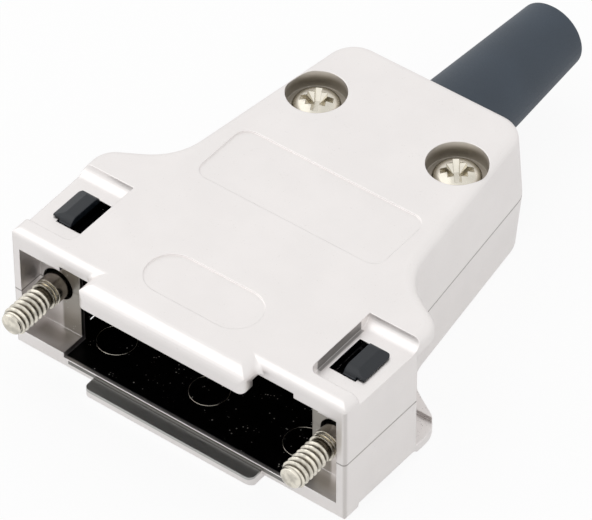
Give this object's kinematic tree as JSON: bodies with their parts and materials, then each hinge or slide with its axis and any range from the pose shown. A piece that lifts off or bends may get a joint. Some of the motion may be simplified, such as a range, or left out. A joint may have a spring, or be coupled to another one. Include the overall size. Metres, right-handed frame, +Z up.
{
  "type": "d-sub hood",
  "caption": "Two-piece die-cast connector hood with straight cable exit, captive jackscrews, snap latches in the ears and a tapered bend relief boot.",
  "frame": {"origin": "middle of the front mating face, on the parting plane of the two shells", "axes": "+X across the connector, +Y from the mating face towards the cable, +Z up"},
  "size_m": [0.04, 0.0653, 0.0152],
  "materials": {
    "nickel_cast": "satin",
    "nickel_bright": "bright",
    "black_nylon": "satin",
    "grey_rubber": "matt",
    "clamp_steel": "plated"
  },
  "bodies": {
    "hood": {"upper_shell": "nickel_cast", "lower_shell": "nickel_cast", "shell_screw_left": "nickel_bright", "shell_screw_right": "nickel_bright", "bend_relief_boot": "grey_rubber", "cable_clamp": "clamp_steel", "clamp_screw_left": "nickel_bright", "clamp_screw_right": "nickel_bright"},
    "jackscrew_left": {"jackscrew_left": "nickel_bright"},
    "jackscrew_right": {"jackscrew_right": "nickel_bright"},
    "latch_left": {"latch_left": "black_nylon"},
    "latch_right": {"latch_right": "black_nylon"}
  },
  "joints": [
    {"name": "jackscrew_left_turn", "type": "hinge", "parent": "hood", "child": "jackscrew_left", "pos_m": [-0.01666, 0, 0], "axis": [0, 1, 0], "continuous": true},
    {"name": "jackscrew_right_turn", "type": "hinge", "parent": "hood", "child": "jackscrew_right", "pos_m": [0.01666, 0, 0], "axis": [0, 1, 0], "continuous": true},
    {"name": "latch_left_slide", "type": "slide", "parent": "hood", "child": "latch_left", "axis": [1, 0, 0], "range_m": [0, 0.0007], "stiffness_N_per_m": 2000},
    {"name": "latch_right_slide", "type": "slide", "parent": "hood", "child": "latch_right", "axis": [-1, 0, 0], "range_m": [0, 0.0007], "stiffness_N_per_m": 2000}
  ]
}
